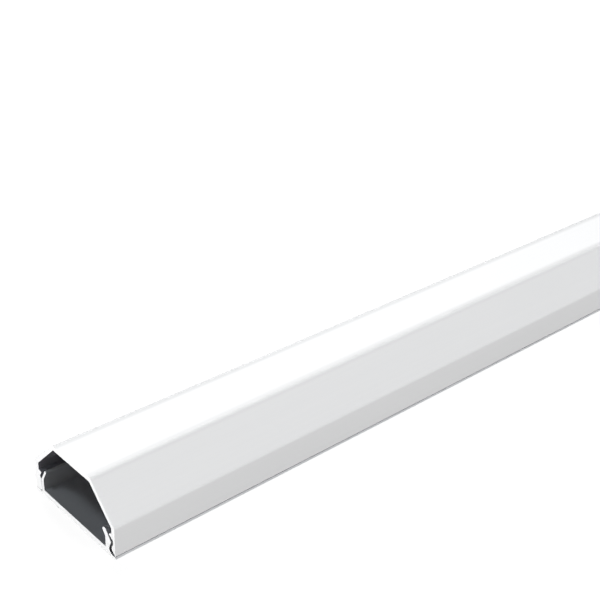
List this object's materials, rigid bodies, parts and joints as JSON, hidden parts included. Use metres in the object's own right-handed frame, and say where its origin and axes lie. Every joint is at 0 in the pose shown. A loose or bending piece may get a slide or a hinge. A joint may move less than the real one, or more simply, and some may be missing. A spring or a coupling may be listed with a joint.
{
  "type": "cord cover raceway",
  "caption": "Two-piece surface raceway that hides cords along a wall: a flat base channel with clip rails and screw slots, and a faceted cover that snaps and slides on it.",
  "frame": {"origin": "middle of the base's flat back, halfway along the raceway", "axes": "+X along the raceway, +Y across it, +Z out of the wall or up from the floor that it lies on"},
  "size_m": [0.75, 0.05, 0.026],
  "materials": {
    "base_plastic": "satin",
    "cover_plastic": "satin"
  },
  "bodies": {
    "base": {"base_channel": "base_plastic"},
    "cover": {"snap_cover": "cover_plastic"}
  },
  "joints": [
    {"name": "cover_slide", "type": "slide", "parent": "base", "child": "cover", "axis": [1, 0, 0], "range_m": [-0.6, 0.6]}
  ]
}
